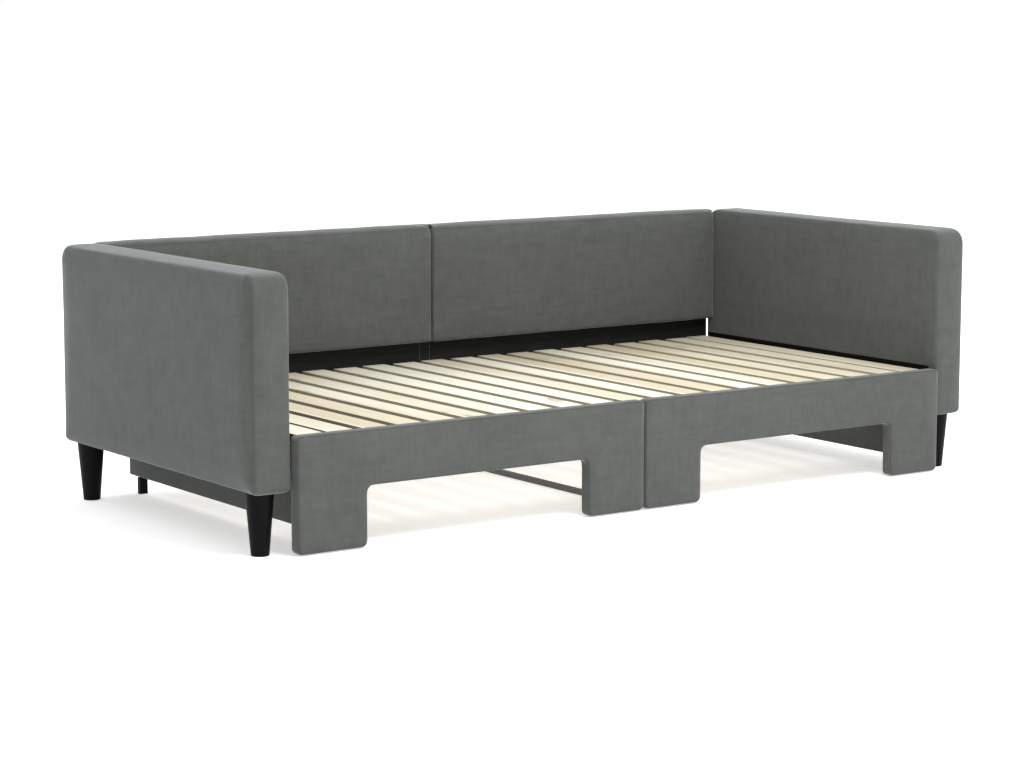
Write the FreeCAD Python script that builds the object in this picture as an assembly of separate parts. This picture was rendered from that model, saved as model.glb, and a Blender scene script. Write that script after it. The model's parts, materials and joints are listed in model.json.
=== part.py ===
import FreeCAD, Part
import os

# Extendable upholstered daybed: a fixed daybed and a slatted pull-out frame that slides
# forward between the arms.  Millimetres, Z up, X along the length, front towards -Y.
# Y is measured from a plane 10 mm behind the front of the arms and shifted on export, so
# that the origin ends up under the middle of the closed bed.

# Overall
INNER_HALF = 1010.0          # half the clear length between the arms
ARM_THICK = 101.0
ARM_FRONT = -10.0
ARM_REAR = 977.0
ARM_TOP = 655.0
LEG_HEIGHT = 148.0
BACK_FRONT = 936.0           # padded face of the back
BACK_REAR = 1033.0
BACK_TOP = 650.0
BACK_PAD_BOTTOM = 326.0

# Arms
ARM_CORNER = 40.0            # radius of the upper corners seen from the side
ARM_LOWER_CORNER = 16.0
ARM_EDGE = 12.0
ARM_FOAM = 20.0
ARM_BASE_COVER = 6.0
FRAME_BOARD = 25.0

# Back
BOARD_FRONT = 981.0
BOARD_REAR = 999.0
BOARD_HALF = 1014.0
BOARD_INNER = 20.0
BOARD_TOP = 600.0
PAD_END_WALL = 19.0
PAD_EDGE = 12.0
POST_HALF = 18.0

# Legs
LEG_TOP_R = 34.0
LEG_FOOT_R = 21.5
LEG_X = 1064.0
LEG_PLACES = (46.0, 914.0)   # along Y
BOLT_R = 4.0

# Slats and their supports
SLAT_TOP = 271.0
SLAT_W = 70.0
SLAT_MID = 22.0              # the whole row sits slightly off centre
SLAT_PITCH = 192.3           # between two slats of the same set
END_SLAT = 949.0             # outermost fixed slats, measured from SLAT_MID
FIXED_SLATS = 11
MOVING_SLATS = 10
FIXED_BOTTOM = 254.0
MOVING_BOTTOM = 255.0        # runs 1 mm above the fixed crossbar
BAR_BOTTOM = 208.0
CROSS_FRONT = 31.0
CROSS_DEPTH = 40.0
RAIL_DEPTH = 20.0
LEDGE_IN = 950.0             # inner edge of the ledge on each arm
LEDGE_T = 3.0
LEDGE_FOOT = 4.0
LEDGE_TOP = 284.0
LEDGE_FRONT = 20.0

# Pull-out frame
PANEL_FRONT = -29.0
PANEL_REAR = 7.0
PANEL_HALF = 1006.0
PANEL_TOP = 281.0
PANEL_BOTTOM = 2.0
PANEL_SEAM = 0.5
PANEL_EDGE = 8.0
CUT_LEFT = (176.0, 815.0)    # cut-out of each half, from the middle seam outwards
CUT_RIGHT = (182.0, 832.0)
CUT_TOP = 147.0
CUT_R = 18.0
FOOT_R = 15.0
SIDE_OUT = 931.0
SIDE_T = 18.0
SIDE_TOP = 200.0
SIDE_BOTTOM = 43.0
SIDE_REAR = 967.0
MOVING_BAR_TOP = 251.0
MOVING_BAR_FRONT = 915.0
MOVING_BAR_DEPTH = 42.0
BATTEN_DEPTH = 22.0
BATTEN_HALF = 925.0
CORE_INSET = 10.0
CORE_FRONT = -12.0
CORE_REAR = 3.0
RUNNER_W = 16.0
RUNNER_H = 13.0
RUNNER_Z = 1.0

SCREW_R = 2.5
HEAD_R = 5.0
HEAD_T = 3.0
SCREW_TOP = 264.0            # slat screws stop inside the slats

CENTRE_Y = (PANEL_FRONT + BACK_REAR) / 2.0
UP = FreeCAD.Vector(0, 0, 1)
RIGHT = FreeCAD.Vector(1, 0, 0)
BACKWARD = FreeCAD.Vector(0, 1, 0)

os.makedirs("parts", exist_ok=True)


def vec(x, y, z):
    return FreeCAD.Vector(x, y, z)


def save(name, shape):
    """Shift to the final origin and write one node."""
    shape = shape.copy()
    shape.translate(vec(0, -CENTRE_Y, 0))
    shape.exportStep("parts/" + name + ".step")


def box(x0, x1, y0, y1, z0, z1):
    return Part.makeBox(x1 - x0, y1 - y0, z1 - z0, vec(x0, y0, z0))


def rod(radius, start, direction, length):
    return Part.makeCylinder(radius, length, start, direction)


def mirrored(shape):
    return shape.mirror(vec(0, 0, 0), RIGHT)


def save_pair(name, left_shape):
    """Write the left piece and its mirror image."""
    save(name + "_left", left_shape)
    save(name + "_right", mirrored(left_shape))


def both_sides(shapes):
    return shapes + [mirrored(shape) for shape in shapes]


def without(shape, tools):
    return shape.cut(Part.makeCompound(tools)).Solids[0]


def rounded_outline(points, radii):
    """Closed wire through the corner points with a fillet arc at each of them."""
    edges = []
    starts = []
    ends = []
    count = len(points)
    for i in range(count):
        corner = points[i]
        before = points[i - 1].sub(corner).normalize()
        after = points[(i + 1) % count].sub(corner).normalize()
        radius = radii[i]
        arc_in = corner.add(before * radius)
        arc_out = corner.add(after * radius)
        centre = corner.add(before * radius).add(after * radius)
        middle = centre.add(corner.sub(centre).normalize() * radius)
        edges.append(Part.Arc(arc_in, middle, arc_out).toShape())
        starts.append(arc_in)
        ends.append(arc_out)
    for i in range(count):
        edges.append(Part.makeLine(ends[i], starts[(i + 1) % count]))
    return Part.Wire(Part.__sortEdges__(edges))


def edges_on_plane(shape, axis, value):
    """Edges whose whole length lies on the plane axis = value."""
    found = []
    for edge in shape.Edges:
        bounds = edge.BoundBox
        low = (bounds.XMin, bounds.YMin, bounds.ZMin)[axis]
        high = (bounds.XMax, bounds.YMax, bounds.ZMax)[axis]
        if abs(low - value) < 0.01 and abs(high - value) < 0.01:
            found.append(edge)
    return found


# ---------------------------------------------------------------- arms

def leg_bolt(y):
    return rod(BOLT_R, vec(-LEG_X, y, LEG_HEIGHT - 30), UP, 30 + ARM_BASE_COVER + FRAME_BOARD)


def bracket_bolts_left():
    """Bolts of the rear bracket: two into the arm, two into the end of the back."""
    bolts = []
    for z in (400.0, 560.0):
        arm_y = ARM_REAR + LEDGE_T
        into_arm = rod(BOLT_R, vec(-INNER_HALF - 36, arm_y, z), -BACKWARD, 45)
        head = rod(7.0, vec(-INNER_HALF - 36, arm_y, z), BACKWARD, 4)
        bolts.append(into_arm.fuse(head).removeSplitter())
        end_x = -INNER_HALF + 1 - LEDGE_T
        board_y = (BOARD_FRONT + BOARD_REAR) / 2
        into_back = rod(BOLT_R, vec(end_x, board_y, z), RIGHT, 45)
        head = rod(7.0, vec(end_x, board_y, z), -RIGHT, 4)
        bolts.append(into_back.fuse(head).removeSplitter())
    return bolts


def rail_screws_left():
    """Screws that hold the slat ledge to the arm, below the slats."""
    screws = []
    inner_x = -INNER_HALF + LEDGE_T
    for i in range(5):
        y = 120.0 + i * 185.0
        shank = rod(SCREW_R, vec(inner_x, y, 243), -RIGHT, 40)
        head = rod(HEAD_R, vec(inner_x, y, 243), RIGHT, HEAD_T)
        screws.append(shank.fuse(head).removeSplitter())
    return screws


def arm_block():
    """Rounded block of one arm, left side."""
    outer_x = -INNER_HALF - ARM_THICK
    corners = [
        vec(outer_x, ARM_FRONT, LEG_HEIGHT),
        vec(outer_x, ARM_REAR, LEG_HEIGHT),
        vec(outer_x, ARM_REAR, ARM_TOP),
        vec(outer_x, ARM_FRONT, ARM_TOP),
    ]
    radii = [ARM_LOWER_CORNER, ARM_LOWER_CORNER, ARM_CORNER, ARM_CORNER]
    face = Part.Face(rounded_outline(corners, radii))
    block = face.extrude(vec(ARM_THICK, 0, 0))
    rims = edges_on_plane(block, 0, outer_x) + edges_on_plane(block, 0, -INNER_HALF)
    return block.makeFillet(ARM_EDGE, rims)


def frame_box():
    """Outside of the wooden frame inside the left arm."""
    return (
        -INNER_HALF - ARM_THICK + ARM_FOAM, -INNER_HALF - ARM_FOAM,
        ARM_FRONT + ARM_FOAM, ARM_REAR - ARM_FOAM,
        LEG_HEIGHT + ARM_BASE_COVER, ARM_TOP - ARM_FOAM,
    )


def arm_frame():
    """Ring of boards with a middle stud and a belt board behind the slat ledge."""
    x0, x1, y0, y1, z0, z1 = frame_box()
    frame = box(x0, x1, y0, y1, z0, z1)
    mid_y = (y0 + y1) / 2
    windows = []
    bays = [(y0 + FRAME_BOARD, mid_y - FRAME_BOARD / 2), (mid_y + FRAME_BOARD / 2, y1 - FRAME_BOARD)]
    rows = [(z0 + FRAME_BOARD, 225.0), (265.0, z1 - FRAME_BOARD)]
    for bay_start, bay_end in bays:
        for row_low, row_high in rows:
            windows.append(box(x0, x1, bay_start, bay_end, row_low, row_high))
    return without(frame, windows)


bolts_left = [leg_bolt(y) for y in LEG_PLACES]
brackets_left = bracket_bolts_left()
screws_left = rail_screws_left()
save_pair("arm_pad", without(arm_block(), [box(*frame_box())] + bolts_left + brackets_left + screws_left))
save_pair("arm_frame", without(arm_frame(), bolts_left + brackets_left + screws_left))
save("leg_bolts", Part.makeCompound(both_sides(bolts_left)))
save("back_bracket_bolts", Part.makeCompound(both_sides(brackets_left)))
save("side_rail_screws", Part.makeCompound(both_sides(screws_left)))

for y, place in zip(LEG_PLACES, ("front", "rear")):
    leg = Part.makeCone(LEG_FOOT_R, LEG_TOP_R, LEG_HEIGHT, vec(-LEG_X, y, 0))
    foot_edge = edges_on_plane(leg, 2, 0.0)
    leg = leg.makeFillet(2.0, foot_edge).cut(leg_bolt(y))
    save_pair("leg_" + place, leg)


# ---------------------------------------------------------------- back

def back_pad():
    """Padded upper part of the back, left half, with a pocket for the board."""
    x0 = -INNER_HALF + 1
    x1 = -PANEL_SEAM
    pad = box(x0, x1, BACK_FRONT, BACK_REAR, BACK_PAD_BOTTOM, BACK_TOP)
    long_edges = []
    for edge in pad.Edges:
        bounds = edge.BoundBox
        runs_along_x = bounds.XMax - bounds.XMin > 100
        upper_end_edge = bounds.ZMin > BACK_TOP - 0.01 and not runs_along_x
        outer_upright = bounds.ZMax - bounds.ZMin > 100 and bounds.XMax < x0 + 1
        if runs_along_x or outer_upright or (upper_end_edge and bounds.XMax < x0 + 1):
            long_edges.append(edge)
    pad = pad.makeFillet(PAD_EDGE, long_edges)
    pocket = box(x0 + PAD_END_WALL, -BOARD_INNER, BOARD_FRONT, BOARD_REAR, BACK_PAD_BOTTOM, BOARD_TOP)
    return without(pad, [pocket] + brackets_left)


def back_board():
    """Black board of the left half; its upper part sits in the pocket of the pad."""
    lower = box(-BOARD_HALF, -BOARD_INNER, BOARD_FRONT, BOARD_REAR, LEG_HEIGHT, BACK_PAD_BOTTOM)
    pocket_x = -INNER_HALF + 1 + PAD_END_WALL
    upper = box(pocket_x, -BOARD_INNER, BOARD_FRONT, BOARD_REAR, BACK_PAD_BOTTOM, BOARD_TOP)
    return without(lower.fuse(upper).removeSplitter(), brackets_left)


def back_bracket():
    """Steel angle between the rear of the arm and the end of the back."""
    end_x = -INNER_HALF + 1
    on_back = box(end_x - LEDGE_T, end_x, ARM_REAR, BACK_REAR - 10, 360, 600)
    on_arm = box(end_x - 60, end_x, ARM_REAR, ARM_REAR + LEDGE_T, 360, 600)
    return without(on_back.fuse(on_arm).removeSplitter(), brackets_left)


save_pair("back_pad", back_pad())
save_pair("back_board", back_board())
save_pair("back_bracket", back_bracket())
save("centre_post", box(-POST_HALF, POST_HALF, BOARD_FRONT, BOARD_REAR, 0, BACK_PAD_BOTTOM))


# ---------------------------------------------------------------- fixed slats

def fixed_slat_centres():
    """Regular row with the two end slats drawn slightly inwards."""
    inner = [SLAT_MID + (i - FIXED_SLATS // 2) * SLAT_PITCH for i in range(1, FIXED_SLATS - 1)]
    return [SLAT_MID - END_SLAT] + inner + [SLAT_MID + END_SLAT]


def moving_slat_centres():
    middle = (MOVING_SLATS - 1) / 2.0
    return [SLAT_MID + (i - middle) * SLAT_PITCH for i in range(MOVING_SLATS)]


def slat_screw(x, y, bar_bottom):
    """Screw driven from under a bar into the slat, with its head below the bar."""
    shank = rod(SCREW_R, vec(x, y, bar_bottom), UP, SCREW_TOP - bar_bottom)
    head = rod(HEAD_R, vec(x, y, bar_bottom - HEAD_T), UP, HEAD_T)
    return shank.fuse(head).removeSplitter()


cross_y = CROSS_FRONT + CROSS_DEPTH / 2
rear_y = BOARD_FRONT - RAIL_DEPTH / 2
fixed_screws = []
for x in fixed_slat_centres():
    # the outermost screws stay clear of the ledges
    screw_x = max(-LEDGE_IN + 20, min(LEDGE_IN - 10, x))
    fixed_screws.append(slat_screw(screw_x, cross_y, BAR_BOTTOM))
    fixed_screws.append(slat_screw(screw_x, rear_y, BAR_BOTTOM))

for i, x in enumerate(fixed_slat_centres()):
    slat = box(x - SLAT_W / 2, x + SLAT_W / 2, CROSS_FRONT, BOARD_FRONT, FIXED_BOTTOM, SLAT_TOP)
    save("fixed_slat_%02d" % (i + 1), without(slat, fixed_screws[2 * i:2 * i + 2]))
save("fixed_slat_screws", Part.makeCompound(fixed_screws))

# The crossbar is notched at its ends, where it tucks under the ledges.
cross_end = INNER_HALF - LEDGE_T
crossbar = box(-LEDGE_IN, LEDGE_IN, CROSS_FRONT, CROSS_FRONT + CROSS_DEPTH, BAR_BOTTOM, FIXED_BOTTOM)
ledge_under = FIXED_BOTTOM - LEDGE_FOOT
ends = box(-cross_end, cross_end, CROSS_FRONT, CROSS_FRONT + CROSS_DEPTH, BAR_BOTTOM, ledge_under)
save("front_crossbar", without(crossbar.fuse(ends).removeSplitter(), fixed_screws))
rear_rail = box(-INNER_HALF, INNER_HALF, BOARD_FRONT - RAIL_DEPTH, BOARD_FRONT, BAR_BOTTOM, FIXED_BOTTOM)
save("rear_rail", without(rear_rail, fixed_screws))
save("crossbar_leg", box(62, 94, CROSS_FRONT + 4, CROSS_FRONT + 36, 0, BAR_BOTTOM))

rail_end = BOARD_FRONT - RAIL_DEPTH
upright = box(-INNER_HALF, -INNER_HALF + LEDGE_T, LEDGE_FRONT, rail_end, 230, LEDGE_TOP)
shelf = box(-INNER_HALF, -LEDGE_IN, LEDGE_FRONT, rail_end, ledge_under, FIXED_BOTTOM)
save_pair("side_rail", without(upright.fuse(shelf).removeSplitter(), screws_left))


# ---------------------------------------------------------------- pull-out frame

def panel_outline(y, inset, cut):
    """Outline of a left front panel with its cut-out, drawn on the plane Y = y."""
    left = -PANEL_HALF + inset
    right = -PANEL_SEAM - inset
    bottom = PANEL_BOTTOM + inset
    top = PANEL_TOP - inset
    cut_top = CUT_TOP + inset
    cut_left = -cut[1] - inset
    cut_right = -cut[0] + inset
    corners = [
        vec(left, y, bottom), vec(cut_left, y, bottom), vec(cut_left, y, cut_top),
        vec(cut_right, y, cut_top), vec(cut_right, y, bottom), vec(right, y, bottom),
        vec(right, y, top), vec(left, y, top),
    ]
    foot = FOOT_R - inset / 2
    inner = CUT_R + inset
    radii = [foot, foot, inner, inner, foot, foot, foot, foot]
    return Part.Face(rounded_outline(corners, radii))


def front_panel(cut):
    panel = panel_outline(PANEL_FRONT, 0, cut).extrude(vec(0, PANEL_REAR - PANEL_FRONT, 0))
    return panel.makeFillet(PANEL_EDGE, edges_on_plane(panel, 1, PANEL_FRONT))


def panel_core(cut):
    return panel_outline(CORE_FRONT, CORE_INSET, cut).extrude(vec(0, CORE_REAR - CORE_FRONT, 0))


core_screws = []
batten_y = PANEL_REAR + BATTEN_DEPTH
for i in range(5):
    x = -860.0 + i * 190.0
    shank = rod(SCREW_R, vec(x, batten_y, 235), -BACKWARD, batten_y - CORE_FRONT - 4)
    head = rod(HEAD_R, vec(x, batten_y - 0.0, 235), BACKWARD, 1.5)
    core_screws.append(shank.fuse(head).removeSplitter())
core_screws_all = both_sides(core_screws)

# The pad is the block less the volume of its core, so the core sits in a fitted cavity.
for side_name, cut in (("left", CUT_LEFT), ("right", CUT_RIGHT)):
    pad = without(front_panel(cut), [panel_core(cut)] + core_screws)
    core = without(panel_core(cut), core_screws)
    if side_name == "right":
        pad, core = mirrored(pad), mirrored(core)
    save("front_panel_" + side_name, pad)
    save("front_panel_core_" + side_name, core)

moving_y = MOVING_BAR_FRONT + MOVING_BAR_DEPTH / 2
batten_mid = PANEL_REAR + BATTEN_DEPTH / 2
moving_screws = []
for x in moving_slat_centres():
    moving_screws.append(slat_screw(x, batten_mid, 215.0))
    moving_screws.append(slat_screw(x, moving_y, SIDE_TOP))

for i, x in enumerate(moving_slat_centres()):
    slat = box(x - SLAT_W / 2, x + SLAT_W / 2, PANEL_REAR, BOARD_FRONT - 6, MOVING_BOTTOM, SLAT_TOP)
    save("moving_slat_%02d" % (i + 1), without(slat, moving_screws[2 * i:2 * i + 2]))
save("pullout_screws", Part.makeCompound(moving_screws + core_screws_all))

batten = box(-BATTEN_HALF, BATTEN_HALF, PANEL_REAR, batten_y, 215, MOVING_BOTTOM)
save("front_batten", without(batten, moving_screws + core_screws_all))
moving_rear = MOVING_BAR_FRONT + MOVING_BAR_DEPTH
moving_bar = box(-SIDE_OUT, SIDE_OUT, MOVING_BAR_FRONT, moving_rear, SIDE_TOP, MOVING_BAR_TOP)
save("moving_crossbar", without(moving_bar, moving_screws))

spacers = []
for x in moving_slat_centres():
    plate = box(x - 30, x + 30, MOVING_BAR_FRONT, moving_rear, MOVING_BAR_TOP, MOVING_BOTTOM)
    spacers.append(without(plate, moving_screws))
save("slat_spacers", Part.makeCompound(spacers))

side = box(-SIDE_OUT, -SIDE_OUT + SIDE_T, PANEL_REAR, SIDE_REAR, SIDE_BOTTOM, SIDE_TOP)
side_edges = edges_on_plane(side, 2, SIDE_BOTTOM)
lower_long = [edge for edge in side_edges if edge.Length > 100]
save_pair("side_panel", side.makeFillet(4.0, lower_long))

foot = box(-SIDE_OUT, -SIDE_OUT + 22, 905, 919, 0, SIDE_BOTTOM)
save_pair("rear_foot", foot.cut(side.makeFillet(4.0, lower_long)))

runner_half = RUNNER_W / 2
runner_top = RUNNER_Z + RUNNER_H
save("centre_runner", box(-runner_half, runner_half, PANEL_REAR, moving_rear, RUNNER_Z, runner_top))
post_front = moving_y - runner_half
post = box(-runner_half, runner_half, post_front, post_front + RUNNER_W, runner_top, SIDE_TOP)
save("runner_post", post)
save("panel_joint_plate", box(-50, 50, PANEL_REAR, PANEL_REAR + 3, 30, 200))
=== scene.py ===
import bpy
import json
import math
import numpy as np
from collections import namedtuple
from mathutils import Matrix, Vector, noise


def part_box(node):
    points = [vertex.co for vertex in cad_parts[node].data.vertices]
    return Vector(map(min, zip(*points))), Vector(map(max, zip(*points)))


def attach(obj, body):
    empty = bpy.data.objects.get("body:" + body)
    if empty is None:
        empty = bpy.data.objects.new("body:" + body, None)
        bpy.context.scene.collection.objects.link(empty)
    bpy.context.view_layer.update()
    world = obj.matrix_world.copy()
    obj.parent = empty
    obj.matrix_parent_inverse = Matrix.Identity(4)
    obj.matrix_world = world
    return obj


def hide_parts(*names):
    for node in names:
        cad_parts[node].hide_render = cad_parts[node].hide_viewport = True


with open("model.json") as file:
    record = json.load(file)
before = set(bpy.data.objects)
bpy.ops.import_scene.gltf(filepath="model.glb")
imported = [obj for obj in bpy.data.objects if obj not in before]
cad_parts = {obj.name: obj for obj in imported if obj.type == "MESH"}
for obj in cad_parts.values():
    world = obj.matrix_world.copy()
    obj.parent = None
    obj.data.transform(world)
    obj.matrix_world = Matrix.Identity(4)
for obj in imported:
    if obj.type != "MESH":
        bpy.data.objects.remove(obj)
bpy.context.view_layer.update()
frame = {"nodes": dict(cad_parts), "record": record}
nodes = frame["nodes"]
scene = bpy.context.scene


# ---------------------------------------------------------------- camera, floor and light

CAMERA_PLACE = (-4.0375, -5.7103, 1.2457)
CAMERA_YAW = math.radians(35.016)      # turned from +Y towards +X
CAMERA_PITCH = math.radians(8.024)     # downwards
CAMERA_LENS = 93.517
FLOOR_SIZE = 80
FLOOR_GLOW = 0.42                      # lifts the floor to the white of the background


def make_camera():
    data = bpy.data.cameras.new("camera")
    data.lens = CAMERA_LENS
    data.sensor_width = 36.0
    data.clip_end = 200.0
    camera = bpy.data.objects.new("camera", data)
    camera.location = CAMERA_PLACE
    camera.rotation_euler = (math.pi / 2 - CAMERA_PITCH, 0, -CAMERA_YAW)
    scene.collection.objects.link(camera)
    scene.camera = camera


def area_light(name, place, target, size, watts):
    data = bpy.data.lights.new(name, "AREA")
    data.shape = "RECTANGLE"
    data.size, data.size_y = size
    data.energy = watts
    lamp = bpy.data.objects.new(name, data)
    lamp.location = place
    lamp.rotation_euler = (Vector(target) - Vector(place)).to_track_quat("-Z", "Y").to_euler()
    scene.collection.objects.link(lamp)


def make_studio():
    scene.view_settings.view_transform = "Standard"
    world = bpy.data.worlds.new("studio")
    world.use_nodes = True
    background = world.node_tree.nodes["Background"]
    background.inputs["Color"].default_value = (1, 1, 1, 1)
    background.inputs["Strength"].default_value = 1.0
    scene.world = world
    area_light("key_light", (-0.1, -2.2, 3.2), (0.4, 0.2, 0.3), (1.6, 1.2), 120)
    area_light("rear_light", (2.3, 2.6, 4.0), (0, 0, 0.4), (3.5, 3.0), 170)
    bpy.ops.mesh.primitive_grid_add(x_subdivisions=8, y_subdivisions=8, size=FLOOR_SIZE)
    floor = bpy.context.object
    floor.name = "floor"
    floor.data.materials.append(floor_material())


# ---------------------------------------------------------------- shader helpers

class Shader:
    """A Principled material under construction, with the object's own coordinates at hand."""

    def __init__(self, name, roughness, **constants):
        self.material = bpy.data.materials.new(name)
        self.material.use_nodes = True
        self.tree = self.material.node_tree
        self.surface = self.tree.nodes["Principled BSDF"]
        self.surface.inputs["Roughness"].default_value = roughness
        for key, value in constants.items():
            self.surface.inputs[key.replace("_", " ")].default_value = value
        self.coords = self.add("ShaderNodeTexCoord").outputs["Object"]

    def add(self, kind, **settings):
        node = self.tree.nodes.new(kind)
        for key, value in settings.items():
            setattr(node, key, value)
        return node

    def link(self, source, target):
        self.tree.links.new(source, target)

    def fill(self, socket, value):
        """Link a socket, or set a constant on it."""
        if isinstance(value, bpy.types.NodeSocket):
            self.link(value, socket)
        else:
            socket.default_value = value

    def scaled(self, scale, shift=(0, 0, 0)):
        node = self.add("ShaderNodeMapping")
        node.inputs["Scale"].default_value = scale
        node.inputs["Location"].default_value = shift
        self.link(self.coords, node.inputs["Vector"])
        return node.outputs["Vector"]

    def noise(self, scale, detail=4.0, roughness=0.5, stretch=(1, 1, 1), distortion=0.0,
              shift=(0, 0, 0)):
        node = self.add("ShaderNodeTexNoise")
        self.link(self.scaled(stretch, shift), node.inputs["Vector"])
        node.inputs["Scale"].default_value = scale
        node.inputs["Detail"].default_value = detail
        node.inputs["Roughness"].default_value = roughness
        node.inputs["Distortion"].default_value = distortion
        return node.outputs["Fac"]

    def maths(self, operation, first, second=0.0):
        node = self.add("ShaderNodeMath", operation=operation)
        self.fill(node.inputs[0], first)
        self.fill(node.inputs[1], second)
        return node.outputs[0]

    def weighted(self, *parts):
        """Sum of the sockets, each times its weight."""
        terms = [self.maths("MULTIPLY", socket, weight) for socket, weight in parts]
        total = terms[0]
        for term in terms[1:]:
            total = self.maths("ADD", total, term)
        return total

    def remap(self, value, low, high, to_low=0.0, to_high=1.0):
        """Smooth step from to_low to to_high while the value goes from low to high."""
        node = self.add("ShaderNodeMapRange", interpolation_type="SMOOTHSTEP")
        self.fill(node.inputs["Value"], value)
        node.inputs["From Min"].default_value = low
        node.inputs["From Max"].default_value = high
        node.inputs["To Min"].default_value = to_low
        node.inputs["To Max"].default_value = to_high
        return node.outputs["Result"]

    def mix(self, amount, first, second, blend="MIX"):
        node = self.add("ShaderNodeMix", data_type="RGBA", blend_type=blend)
        self.fill(node.inputs["Factor"], amount)
        self.fill(node.inputs["A"], first)
        self.fill(node.inputs["B"], second)
        return node.outputs["Result"]

    def bump(self, height, distance, strength=1.0, under=None):
        node = self.add("ShaderNodeBump")
        node.inputs["Strength"].default_value = strength
        node.inputs["Distance"].default_value = distance
        self.link(height, node.inputs["Height"])
        if under is not None:
            self.link(under, node.inputs["Normal"])
        return node.outputs["Normal"]

    def axis(self, index):
        node = self.add("ShaderNodeSeparateXYZ")
        self.link(self.coords, node.inputs[0])
        return node.outputs[index]

    def attribute(self, name):
        return self.add("ShaderNodeAttribute", attribute_name=name).outputs["Fac"]

    def finish(self, colour, normal=None, roughness=None):
        self.fill(self.surface.inputs["Base Color"], colour)
        if normal is not None:
            self.link(normal, self.surface.inputs["Normal"])
        if roughness is not None:
            self.link(roughness, self.surface.inputs["Roughness"])
        return self.material


def floor_material():
    shader = Shader("pale_floor", 0.9)
    shader.surface.inputs["Specular IOR Level"].default_value = 0.1
    shader.surface.inputs["Emission Color"].default_value = (1, 1, 1, 1)
    shader.surface.inputs["Emission Strength"].default_value = FLOOR_GLOW
    tone = shader.remap(shader.noise(0.7, 2.0), 0.3, 0.7)
    return shader.finish(shader.mix(tone, (0.86, 0.86, 0.86, 1), (0.89, 0.89, 0.89, 1)))


FABRIC_DARK = (0.059, 0.062, 0.057, 1)
FABRIC_LIGHT = (0.079, 0.083, 0.077, 1)
FABRIC_FIBRE = (0.101, 0.106, 0.103, 1)
# Painted shade: the dark colour of the line along the seams, where the drawn-in cover lies in
# shade.
FABRIC_SEAM_SHADE = (0.022, 0.023, 0.022, 1)
WEAVE_PITCH = 0.0018


def fabric_material():
    """Dark grey brushed weave: crossing threads, fine slubs, blotches of lifted pile, and painted
    shade along the seams.
    """
    shader = Shader("upholstery_fabric", 0.95, Sheen_Weight=0.5, Sheen_Roughness=0.35)
    shader.surface.inputs["Specular IOR Level"].default_value = 0.12
    shader.surface.inputs["Sheen Tint"].default_value = (0.88, 0.94, 0.96, 1)
    threads = []
    for index in range(3):
        wave = shader.maths("MULTIPLY", shader.axis(index), 2 * math.pi / WEAVE_PITCH)
        threads.append(shader.maths("SINE", wave))
    weave = shader.maths("ADD", shader.maths("ADD", threads[0], threads[1]), threads[2])
    upright = shader.noise(90, 3.0, 0.6, stretch=(1, 1, 0.16))
    level = shader.noise(90, 3.0, 0.6, stretch=(0.16, 0.16, 1), shift=(3, 5, 1))
    slub = shader.maths("ADD", upright, level)
    pile = shader.noise(28, 5.0, 0.6)
    cloud = shader.noise(5, 3.0, 0.5, shift=(1, 0, 2))
    tone = shader.remap(shader.weighted((slub, 0.45), (pile, 0.6), (cloud, 0.35)), 0.62, 1.22)
    colour = shader.mix(tone, FABRIC_DARK, FABRIC_LIGHT)
    fibre = shader.noise(900, 2.0)
    colour = shader.mix(shader.remap(fibre, 0.35, 0.7, 0.0, 0.25), colour, FABRIC_FIBRE)
    # Painted shade along the seams darkens the colour here.
    seam = shader.attribute("seam")
    colour = shader.mix(shader.maths("MULTIPLY", seam, 0.45), colour, FABRIC_SEAM_SHADE)
    fine = shader.bump(weave, 0.00012, 0.5)
    rough = shader.bump(slub, 0.0005, 0.4, fine)
    normal = shader.bump(pile, 0.0008, 0.2, rough)
    return shader.finish(colour, normal)


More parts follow.
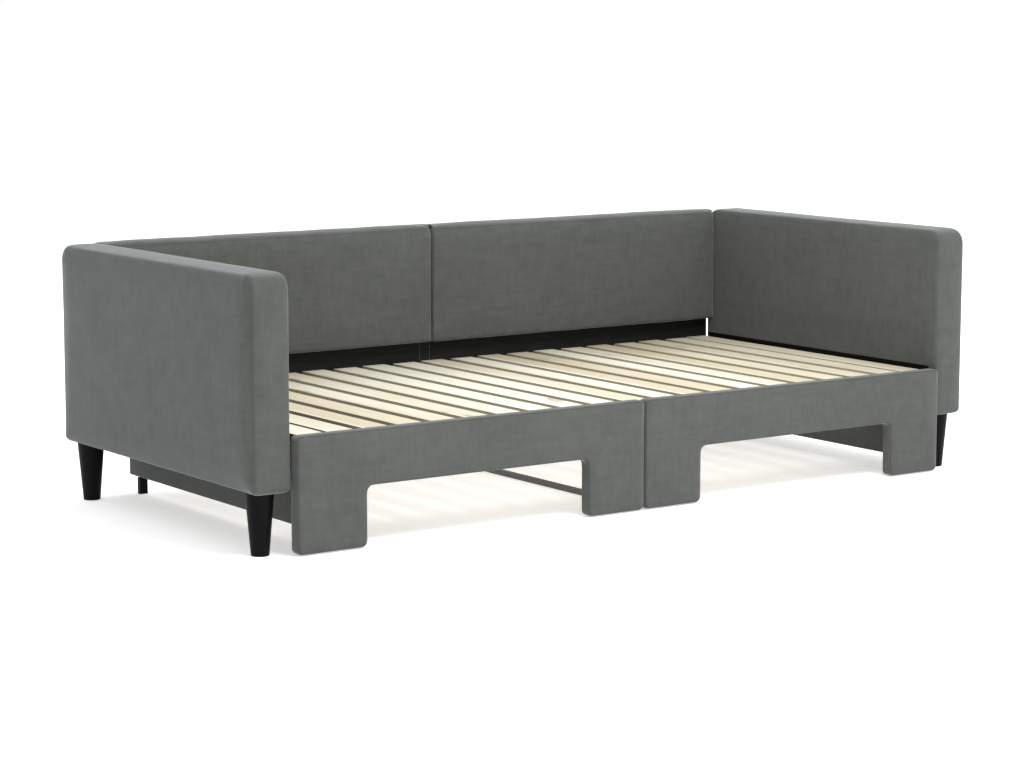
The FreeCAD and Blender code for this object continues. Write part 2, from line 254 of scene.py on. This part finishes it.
def pine_material(name, pale, warm, knot, side_shade, pitch):
    """Planed softwood, grain along Y.  Each board, one per pitch along X, has its own tone, and
    its side faces take a darker colour as painted shade in the gaps between boards.
    """
    shader = Shader(name, 0.62)
    shader.surface.inputs["Specular IOR Level"].default_value = 0.25
    strip = shader.maths("FLOOR", shader.maths("DIVIDE", shader.axis(0), pitch))
    random = shader.add("ShaderNodeTexWhiteNoise", noise_dimensions="1D")
    shader.link(strip, random.inputs["W"])
    own = random.outputs["Value"]
    drift = shader.add("ShaderNodeCombineXYZ")
    shader.link(shader.maths("MULTIPLY", own, 3.0), drift.inputs["Y"])
    shader.link(own, drift.inputs["Z"])
    moved = shader.add("ShaderNodeVectorMath", operation="ADD")
    shader.link(shader.coords, moved.inputs[0])
    shader.link(drift.outputs["Vector"], moved.inputs[1])
    shader.coords = moved.outputs["Vector"]
    rings = shader.noise(11, 3.0, 0.55, stretch=(3.0, 0.14, 3.0), distortion=0.8)
    ring_lines = shader.maths("SINE", shader.maths("MULTIPLY", rings, 85.0))
    grain = shader.noise(420, 4.0, 0.65, stretch=(1, 0.02, 1))
    blot = shader.noise(6, 3.0, 0.55, stretch=(1.2, 0.35, 1))
    spots = shader.noise(10, 1.0, 0.4, stretch=(1.6, 0.55, 1), shift=(7, 2, 0))
    knots = shader.remap(spots, 0.72, 0.78)
    tone = shader.remap(shader.weighted((own, 0.6), (blot, 0.5)), 0.30, 0.85)
    colour = shader.mix(tone, pale, warm)
    colour = shader.mix(shader.remap(ring_lines, 0.0, 1.0, 0.0, 0.30), colour, warm)
    colour = shader.mix(shader.remap(grain, 0.42, 0.7, 0.0, 0.20), colour, knot)
    colour = shader.mix(shader.maths("MULTIPLY", knots, 0.6), colour, knot)
    faces = shader.add("ShaderNodeSeparateXYZ")
    shader.link(shader.add("ShaderNodeTexCoord").outputs["Normal"], faces.inputs[0])
    # Painted shade: the side faces of the boards turn to the dark side colour, standing in for
    # the shade in the gaps between them.
    side = shader.remap(shader.maths("ABSOLUTE", faces.outputs["Z"]), 0.35, 0.75, 0.8, 0.0)
    colour = shader.mix(side, colour, side_shade)
    normal = shader.bump(grain, 0.0006, 0.3)
    roughness = shader.remap(grain, 0.3, 0.7, 0.55, 0.75)
    return shader.finish(colour, normal, roughness)


# Pale colour of the painted highlight along the edges of the centre post.
PAINTED_EDGE_HIGHLIGHT = (0.06, 0.06, 0.06, 1)


def plain_material(name, dark, light, roughness, speckle, stretch=(1, 1, 1), depth=0.0003,
                   gloss_level=0.12, highlight_edge=None, **constants):
    """Moulded or coated surface: faint speckle in tone and height, slightly uneven gloss.

    For a post on the middle plane, the edge band gives the |X| where a painted highlight turns
    its coat pale.
    """
    shader = Shader(name, roughness, **constants)
    shader.surface.inputs["Specular IOR Level"].default_value = gloss_level
    spots = shader.noise(speckle, 4.0, 0.6, stretch=stretch)
    cloud = shader.noise(9, 3.0)
    tone = shader.remap(shader.weighted((spots, 0.6), (cloud, 0.4)), 0.35, 0.65)
    colour = shader.mix(tone, dark, light)
    # Painted highlight: the post's edges are lightened where light would catch them.
    if highlight_edge:
        across = shader.maths("ABSOLUTE", shader.axis(0))
        colour = shader.mix(shader.remap(across, *highlight_edge), colour, PAINTED_EDGE_HIGHLIGHT)
    gloss = shader.remap(cloud, 0.3, 0.7, roughness - 0.06, roughness + 0.08)
    return shader.finish(colour, shader.bump(spots, depth, 0.35), gloss)


# ---------------------------------------------------------------- padded pieces

RIM_ANGLES = [math.radians(a) for a in (0, 22.5, 45, 67.5, 90)]
GRID_STEP = 0.010
RIM_MARGINS = (0.002, 0.005)    # two more grid lines just inside the rim
SEAM_REACH = 0.0045             # how far a seam draws the cover in, on both sides
SEAM_LINE = 0.0022              # half width of its darker line of painted shade
HELD_REACH = 0.003              # points this near to a seam stay put while the cover swells
SETTLING_FRAMES = 18


def grid_lines(cuts, rim):
    """Grid lines between the cuts, crowded next to each of them for the rounded rim."""
    lines = []
    for low, high in zip(cuts, cuts[1:]):
        near = [rim * (1 - math.cos(a)) for a in RIM_ANGLES] + [rim + RIM_MARGINS[0]]
        flat = rim + RIM_MARGINS[1]
        count = max(2, int(math.ceil((high - low - 2 * flat) / GRID_STEP)) + 1)
        lines += [low + n for n in near]
        lines += list(np.linspace(low + flat, high - flat, count))
        lines += [high - n for n in near]
    return np.unique(np.round(lines, 6))


def from_corner(grid, centre, towards, radius):
    """Places measured from the centre in radii, their square reach and their true distance."""
    a = (grid[..., 0] - centre[0]) * towards[0] / radius
    b = (grid[..., 1] - centre[1]) * towards[1] / radius
    return a, b, np.maximum(a, b), np.maximum(np.hypot(a, b), 1e-9)


def scale_about(grid, centre, towards, radius, a, b, factor):
    grid[..., 0] = centre[0] + a * factor * towards[0] * radius
    grid[..., 1] = centre[1] + b * factor * towards[1] * radius


def round_corner(grid, centre, towards, radius):
    """Bend the square corner of the grid into an arc round the centre."""
    a, b, reach, length = from_corner(grid, centre, towards, radius)
    inside = (a >= -1e-6) & (b >= -1e-6) & (reach <= 1 + 1e-6)
    factor = np.where(inside, reach / length, 1.0)
    scale_about(grid, centre, towards, radius, a, b, factor)


def round_notch(grid, centre, towards, radius):
    """Bend the grid round the inner corner of a cut-out, fading out away from it."""
    spread = 2.4
    a, b, reach, length = from_corner(grid, centre, towards, radius)
    near = (a >= 0) & (b >= 0) & (reach >= 1 - 1e-6) & (reach < spread)
    fade = np.clip((spread - reach) / (spread - 1), 0, 1)
    fade = fade * fade * (3 - 2 * fade)
    factor = np.where(near, 1 + (reach / length - 1) * fade, 1.0)
    scale_about(grid, centre, towards, radius, a, b, factor)


def rim_drop(distance, rim):
    """How far the face has curved back at that distance inside the outline."""
    inner = np.clip(rim - distance, 0, rim)
    return rim - np.sqrt(np.maximum(rim * rim - inner * inner, 0))


def rim_travel(distance, rim):
    """Distance along the surface from the seam in the middle of the rim."""
    angle = np.arccos(np.clip(1 - distance / rim, 0, 1))
    on_face = rim * math.pi / 4 + distance - rim
    return np.where(distance >= rim, on_face, rim * np.abs(angle - math.pi / 4))


def padded_block(name, plane, low, high, rims, corners, notch=None):
    """Closed block of quads with rounded rims.

    plane is "XZ" or "YZ", the plane of its large faces.  low and high are its corners.
    rims holds the rounding round its near and its far large face, corners the radius of
    the lower and the upper corners.  notch is a cut-out that is open at the bottom:
    (start, end, top, radius).
    """
    rim, far_rim = rims
    u_axis, w_axis = (0, 1) if plane == "XZ" else (1, 0)
    u_low, u_high = low[u_axis], high[u_axis]
    v_low, v_high = low[2], high[2]
    w_low, w_high = low[w_axis], high[w_axis]
    u_cuts, v_cuts = [u_low, u_high], [v_low, v_high]
    if notch:
        start, end, top, notch_radius = notch
        u_cuts = [u_low, start, end, u_high]
        v_cuts = [v_low, top, v_high]
    us, vs = grid_lines(u_cuts, rim), grid_lines(v_cuts, rim)
    grid = np.stack(np.meshgrid(us, vs, indexing="ij"), -1)
    u, v = grid[..., 0].copy(), grid[..., 1].copy()
    distance = np.minimum.reduce([u - u_low, u_high - u, v - v_low, v_high - v])
    mid_u = (us[:-1] + us[1:])[:, None] / 2
    mid_v = (vs[:-1] + vs[1:])[None, :] / 2
    solid = np.ones((len(us) - 1, len(vs) - 1), bool)
    if notch:
        solid &= ~((mid_u > start) & (mid_u < end) & (mid_v < top))
        to_notch = np.maximum.reduce([start - u, u - end, v - top])
        distance = np.minimum(distance, np.abs(to_notch))
    lower, upper = corners
    feet = [(u_low, 1), (u_high, -1)]
    if notch:
        feet += [(start, -1), (end, 1)]
    for edge, inward in feet:
        round_corner(grid, (edge + inward * lower, v_low + lower), (-inward, -1), lower)
    for edge, inward in [(u_low, 1), (u_high, -1)]:
        round_corner(grid, (edge + inward * upper, v_high - upper), (-inward, 1), upper)
    if notch:
        for edge, outward in [(start, -1), (end, 1)]:
            centre = (edge - outward * notch_radius, top - notch_radius)
            round_notch(grid, centre, (outward, 1), notch_radius)

    points, seams, faces = [], [], []

    def add_point(u_value, v_value, w_value, seam):
        place = [0.0, 0.0, v_value]
        place[u_axis] = u_value
        place[w_axis] = w_value
        points.append(place)
        seams.append(seam)
        return len(points) - 1

    used = np.zeros(grid.shape[:2], bool)
    for di in (0, 1):
        for dj in (0, 1):
            used[di:di + solid.shape[0], dj:dj + solid.shape[1]] |= solid
    drop, travel = rim_drop(distance, rim), rim_travel(distance, rim)
    far_drop, far_travel = rim_drop(distance, far_rim), rim_travel(distance, far_rim)
    near_index = -np.ones(grid.shape[:2], int)
    far_index = -np.ones(grid.shape[:2], int)
    for i, j in zip(*np.nonzero(used)):
        spot = grid[i, j]
        near_index[i, j] = add_point(spot[0], spot[1], w_low + drop[i, j], travel[i, j])
        far_index[i, j] = add_point(spot[0], spot[1], w_high - far_drop[i, j], far_travel[i, j])
    for i, j in zip(*np.nonzero(solid)):
        ring = [(i, j), (i + 1, j), (i + 1, j + 1), (i, j + 1)]
        faces.append([near_index[p] for p in ring])
        faces.append([far_index[p] for p in reversed(ring)])

    wall = w_high - w_low - rim - far_rim
    steps = max(1, int(round(wall / GRID_STEP)))
    ladders = {}

    def ladder(i, j):
        """Points from the near rim to the far rim at one place on the outline."""
        if (i, j) not in ladders:
            row = [near_index[i, j]]
            for k in range(1, steps):
                along = wall * k / steps
                seam = min(rim * math.pi / 4 + along, far_rim * math.pi / 4 + wall - along)
                row.append(add_point(grid[i, j, 0], grid[i, j, 1], w_low + rim + along, seam))
            ladders[i, j] = row + [far_index[i, j]]
        return ladders[i, j]

    padded_solid = np.pad(solid, 1)
    for i, j in zip(*np.nonzero(solid)):
        sides = [
            ((i, j + 1), (i, j), padded_solid[i, j + 1]),
            ((i + 1, j), (i + 1, j + 1), padded_solid[i + 2, j + 1]),
            ((i, j), (i + 1, j), padded_solid[i + 1, j]),
            ((i + 1, j + 1), (i, j + 1), padded_solid[i + 1, j + 2]),
        ]
        for start_at, end_at, has_neighbour in sides:
            if has_neighbour:
                continue
            first, second = ladder(*start_at), ladder(*end_at)
            for k in range(len(first) - 1):
                faces.append([first[k], first[k + 1], second[k + 1], second[k]])

    mesh = bpy.data.meshes.new(name)
    mesh.from_pydata(points, [], faces)
    mesh.validate()
    obj = bpy.data.objects.new(name, mesh)
    scene.collection.objects.link(obj)
    bpy.context.view_layer.objects.active = obj
    obj.select_set(True)
    bpy.ops.object.mode_set(mode="EDIT")
    bpy.ops.mesh.select_all(action="SELECT")
    bpy.ops.mesh.normals_make_consistent(inside=False)
    bpy.ops.object.mode_set(mode="OBJECT")
    obj.select_set(False)
    store(mesh, "seam_distance", np.array(seams))
    return obj


def store(mesh, name, values):
    layer = mesh.attributes.get(name) or mesh.attributes.new(name, "FLOAT", "POINT")
    layer.data.foreach_set("value", np.asarray(values, np.float32))


def fetch(mesh, name):
    values = np.zeros(len(mesh.vertices), np.float32)
    mesh.attributes[name].data.foreach_get("value", values)
    return values


def coordinates(mesh):
    flat = np.zeros(len(mesh.vertices) * 3, np.float32)
    mesh.vertices.foreach_get("co", flat)
    return flat.reshape(-1, 3).astype(float)


def vertex_normals(mesh):
    flat = np.zeros(len(mesh.vertices) * 3, np.float32)
    mesh.vertices.foreach_get("normal", flat)
    return flat.reshape(-1, 3).astype(float)


def move_vertices(mesh, points):
    mesh.vertices.foreach_set("co", points.astype(np.float32).ravel())
    mesh.update()


def inflate(pieces):
    """Let air pressure crown the covers between their seams, all pieces in one run.

    pieces maps each object to the furthest that its points may move, one number or one each.
    """
    start = {}
    for obj in pieces:
        held = obj.vertex_groups.new(name="held")
        seam = fetch(obj.data, "seam_distance")
        held.add([int(i) for i in np.nonzero(seam < HELD_REACH)[0]], 1.0, "REPLACE")
        cloth = obj.modifiers.new("cloth", "CLOTH")
        cloth.settings.quality = 4
        cloth.settings.mass = 0.35
        cloth.settings.tension_stiffness = 12
        cloth.settings.compression_stiffness = 12
        cloth.settings.bending_stiffness = 0.8
        cloth.settings.use_pressure = True
        cloth.settings.uniform_pressure_force = 4.0
        cloth.settings.effector_weights.gravity = 0.0
        cloth.settings.vertex_group_mass = "held"
        cloth.collision_settings.use_collision = False
        cloth.point_cache.frame_end = SETTLING_FRAMES
        start[obj] = coordinates(obj.data)
    for number in range(1, SETTLING_FRAMES + 1):
        scene.frame_set(number)
    depsgraph = bpy.context.evaluated_depsgraph_get()
    settled = {}
    for obj in pieces:
        shaped = obj.evaluated_get(depsgraph).to_mesh()
        settled[obj] = coordinates(shaped)
    for obj, limit in pieces.items():
        shift = settled[obj] - start[obj]
        length = np.linalg.norm(shift, axis=1)
        capped = limit * np.tanh(length / limit)
        shift *= (capped / np.maximum(length, 1e-9))[:, None]
        obj.modifiers.clear()
        obj.vertex_groups.clear()
        move_vertices(obj.data, start[obj] + shift)
    scene.frame_set(1)


def upholster(obj, plan):
    """Pull the seams in, add the slight unevenness of foam, store the painted shade of the seam
    lines, and refine the mesh.
    """
    mesh = obj.data
    points, normals = coordinates(mesh), vertex_normals(mesh)
    seam = np.exp(-(fetch(mesh, "seam_distance") / SEAM_REACH) ** 2)
    waves = [noise.fractal(Vector(p * (5.0, 5.0, 6.0)), 0.6, 2.0, 3) for p in points]
    waves = np.array(waves)
    points += normals * (plan.uneven * waves * (1 - seam) - plan.seam_depth * seam)[:, None]
    move_vertices(mesh, points)
    # The seam line is painted shade, as strong as the cover's seam_shade.
    line = np.exp(-(fetch(mesh, "seam_distance") / SEAM_LINE) ** 2)
    store(mesh, "seam", plan.seam_shade * line)
    smooth = obj.modifiers.new("subdivision", "SUBSURF")
    smooth.levels = 1
    smooth.render_levels = 1
    mesh.shade_smooth()


def turn_over(obj):
    """Mirror a piece from the left of the bed to the right."""
    points = coordinates(obj.data)
    points[:, 0] *= -1
    move_vertices(obj.data, points)
    obj.data.flip_normals()


def mirrored_copy(obj, name):
    copy = bpy.data.objects.new(name, obj.data.copy())
    scene.collection.objects.link(copy)
    turn_over(copy)
    return copy


def shrunk(node, amounts):
    """The CAD solid's box, drawn in by that much on each axis, so the cover can swell into it."""
    low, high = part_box(node)
    low, high = list(low), list(high)
    for i in range(3):
        low[i] += amounts[i]
        high[i] -= amounts[i]
    return low, high


# ---------------------------------------------------------------- build

make_camera()
make_studio()
fabric = fabric_material()

# drawn_in is how much smaller than its solid a cover starts on each axis, rims and corners
# are as in padded_block, and crown is how far the air may push it out.
Cover = namedtuple(
    "Cover", "name plane drawn_in rims corners crown seam_depth seam_shade uneven body"
)
COVERS = {
    "arm_pad": Cover(
        "arm_cover", "YZ", drawn_in=(0.0012, 0.0008, 0.0005), rims=(0.013, 0.007),
        corners=(0.016, 0.042), crown=0.0050, seam_depth=0.0010, seam_shade=0.3,
        uneven=0.0009, body="daybed",
    ),
    "back_pad": Cover(
        "back_cover", "XZ", drawn_in=(0.0002, 0.0015, 0.0015), rims=(0.008, 0.008),
        corners=(0.010, 0.020), crown=0.0055, seam_depth=0.0014, seam_shade=0.6,
        uneven=0.0010, body="daybed",
    ),
    "front_panel": Cover(
        "front_panel_cover", "XZ", drawn_in=(0.0004, 0.0010, 0.0004), rims=(0.008, 0.003),
        corners=(0.015, 0.015), crown=0.0022, seam_depth=0.0007, seam_shade=0.8,
        uneven=0.0005, body="pull_out",
    ),
    "side_panel": Cover(
        "side_cover", "YZ", drawn_in=(0.0004, 0.0004, 0.0006), rims=(0.004, 0.004),
        corners=(0.005, 0.005), crown=0.0006, seam_depth=0.0002, seam_shade=0.8,
        uneven=0.0002, body="pull_out",
    ),
}
ARM_INNER_GAIN = 0.0008             # the arm's inner face starts closer to its solid
ARM_INNER_CROWN = (0.0012, 0.0030)  # how far it may swell: at the ledge, and more above it
ARM_INNER_BAND = 0.10               # height over which it gains the second amount

CUT_TOP, CUT_RADIUS = 0.147, 0.018
CUT_OUTS = {"left": (0.176, 0.815), "right": (0.182, 0.832)}   # from the middle outwards


def cover_block(node, side="left", notch=None):
    """The block of a cover and its box.  All are made on the left, whichever side they serve."""
    plan = COVERS[node]
    low, high = shrunk(node + "_left", plan.drawn_in)
    if node == "arm_pad":
        high[0] += ARM_INNER_GAIN
    name = plan.name + "_" + side
    return padded_block(name, plan.plane, low, high, plan.rims, plan.corners, notch), low, high


def front_panel(side):
    inner, outer = CUT_OUTS[side]
    return cover_block("front_panel", side, (-outer, -inner, CUT_TOP, CUT_RADIUS))[0]


def lower_top_seam(mesh, low, high):
    """The long upper seam of the back runs on its front face, just below the rounded edge."""
    rim = COVERS["back_pad"].rims[0]
    points, seam = coordinates(mesh), fetch(mesh, "seam_distance")
    front = points[:, 1] < low[1] + rim * 1.01
    end = np.minimum(points[:, 0] - low[0], high[0] - points[:, 0])
    upper = front & (points[:, 2] > high[2] - 0.05) & (end > rim)
    seam[upper] = np.abs(high[2] - rim - points[upper, 2])
    store(mesh, "seam_distance", seam)


def round_top(mesh, low, high):
    """Lean the front of the back's upper edge and let its top fall away to the rear."""
    band, lean, rise, fall = 0.045, 0.006, 0.0045, 0.016
    points = coordinates(mesh)
    up = np.clip((points[:, 2] - high[2] + band) / band, 0, 1) ** 2
    depth = np.clip((points[:, 1] - low[1]) / (high[1] - low[1]), 0, 1)
    points[:, 1] += lean * up * (1 - depth)
    points[:, 2] += up * (rise - fall * depth ** 2)
    move_vertices(mesh, points)


def arm_limits(mesh, low, high):
    """The inner face stays nearly flat where the slat ledge and the pull-out frame pass it."""
    points = coordinates(mesh)
    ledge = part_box("side_rail_left")
    above = np.clip((points[:, 2] - ledge[1][2]) / ARM_INNER_BAND, 0, 1)
    inner = points[:, 0] > (low[0] + high[0]) / 2
    at_ledge, further_up = ARM_INNER_CROWN
    return np.where(inner, at_ledge + further_up * above, COVERS["arm_pad"].crown)


def finish_cover(piece, node, side):
    plan = COVERS[node]
    body = plan.body
    upholster(piece, plan)
    piece.data.materials.append(fabric)
    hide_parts(node + "_" + side)
    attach(piece, body)


arm_left, *arm_box = cover_block("arm_pad")
back_left, *back_box = cover_block("back_pad")
panel_left, panel_right = front_panel("left"), front_panel("right")
side_left, *_ = cover_block("side_panel")

lower_top_seam(back_left.data, *back_box)
inflate({
    arm_left: arm_limits(arm_left.data, *arm_box),
    back_left: COVERS["back_pad"].crown,
    panel_left: COVERS["front_panel"].crown,
    panel_right: COVERS["front_panel"].crown,
    side_left: COVERS["side_panel"].crown,
})
round_top(back_left.data, *back_box)

turn_over(panel_right)
for left, node in ((arm_left, "arm_pad"), (back_left, "back_pad"), (side_left, "side_panel")):
    right = mirrored_copy(left, left.name.replace("left", "right"))
    finish_cover(left, node, "left")
    finish_cover(right, node, "right")
finish_cover(panel_left, "front_panel", "left")
finish_cover(panel_right, "front_panel", "right")


# ---------------------------------------------------------------- CAD pieces that stay

SLAT_PITCH = 0.09615            # from one slat to the next, fixed and moving ones together
FRAME_BOARD_PITCH = 0.3
EASED_EDGE = 0.0014
HIGHLIGHT_BAND = (0.0155, 0.0170)    # |X| of the painted highlight along the edges of the centre post

# The fourth colour of each wood is the painted shade on the side faces of its boards.
slat_wood = pine_material(
    "slat_pine", (0.585, 0.565, 0.475, 1), (0.43, 0.375, 0.265, 1), (0.25, 0.185, 0.12, 1),
    (0.27, 0.245, 0.18, 1), SLAT_PITCH,
)
frame_wood = pine_material(
    "frame_pine", (0.60, 0.48, 0.33, 1), (0.50, 0.37, 0.23, 1), (0.28, 0.18, 0.10, 1),
    (0.45, 0.34, 0.22, 1), FRAME_BOARD_PITCH,
)


def grey(level):
    return (level, level, level, 1)


board_look = ((0.006, 0.007, 0.006, 1), (0.012, 0.013, 0.012, 1), 0.6, 180, (0.06, 1, 1))
board_black = plain_material("black_board", *board_look)
post_black = plain_material("black_post", *board_look, highlight_edge=HIGHLIGHT_BAND)
leg_black = plain_material(
    "black_moulding", grey(0.0020), grey(0.0036), 0.45, 900, gloss_level=0.07,
)
steel_black = plain_material(
    "black_steel", grey(0.0014), grey(0.0030), 0.42, 1400, gloss_level=0.05,
)
zinc = plain_material(
    "zinc_plate", (0.42, 0.43, 0.44, 1), grey(0.62), 0.35, 600, Metallic=1.0,
)
runner_grey = plain_material(
    "grey_steel", (0.105, 0.107, 0.106, 1), (0.135, 0.137, 0.136, 1), 0.45, 900,
)
spacer_grey = plain_material("grey_moulding", grey(0.10), grey(0.14), 0.5, 800)

finishes = {
    "pine": slat_wood,
    "frame_wood": frame_wood,
    "black_board": board_black,
    "black_plastic": leg_black,
    "black_steel": steel_black,
    "zinc_steel": zinc,
    "grey_plastic": spacer_grey,
    "upholstery": fabric,
}
finish_of_node = {"centre_runner": runner_grey, "centre_post": post_black}
slot_of = {row["node"]: row["material_slot"] for row in frame["record"]["subparts"]}
for name, obj in nodes.items():
    obj.data.materials.clear()
    obj.data.materials.append(finish_of_node.get(name, finishes[slot_of[name]]))
    if slot_of[name] in ("pine", "frame_wood", "black_board"):
        bevel = obj.modifiers.new("eased_edges", "BEVEL")
        bevel.width = EASED_EDGE
        bevel.segments = 2
        bevel.limit_method = "ANGLE"
        bevel.angle_limit = math.radians(40)
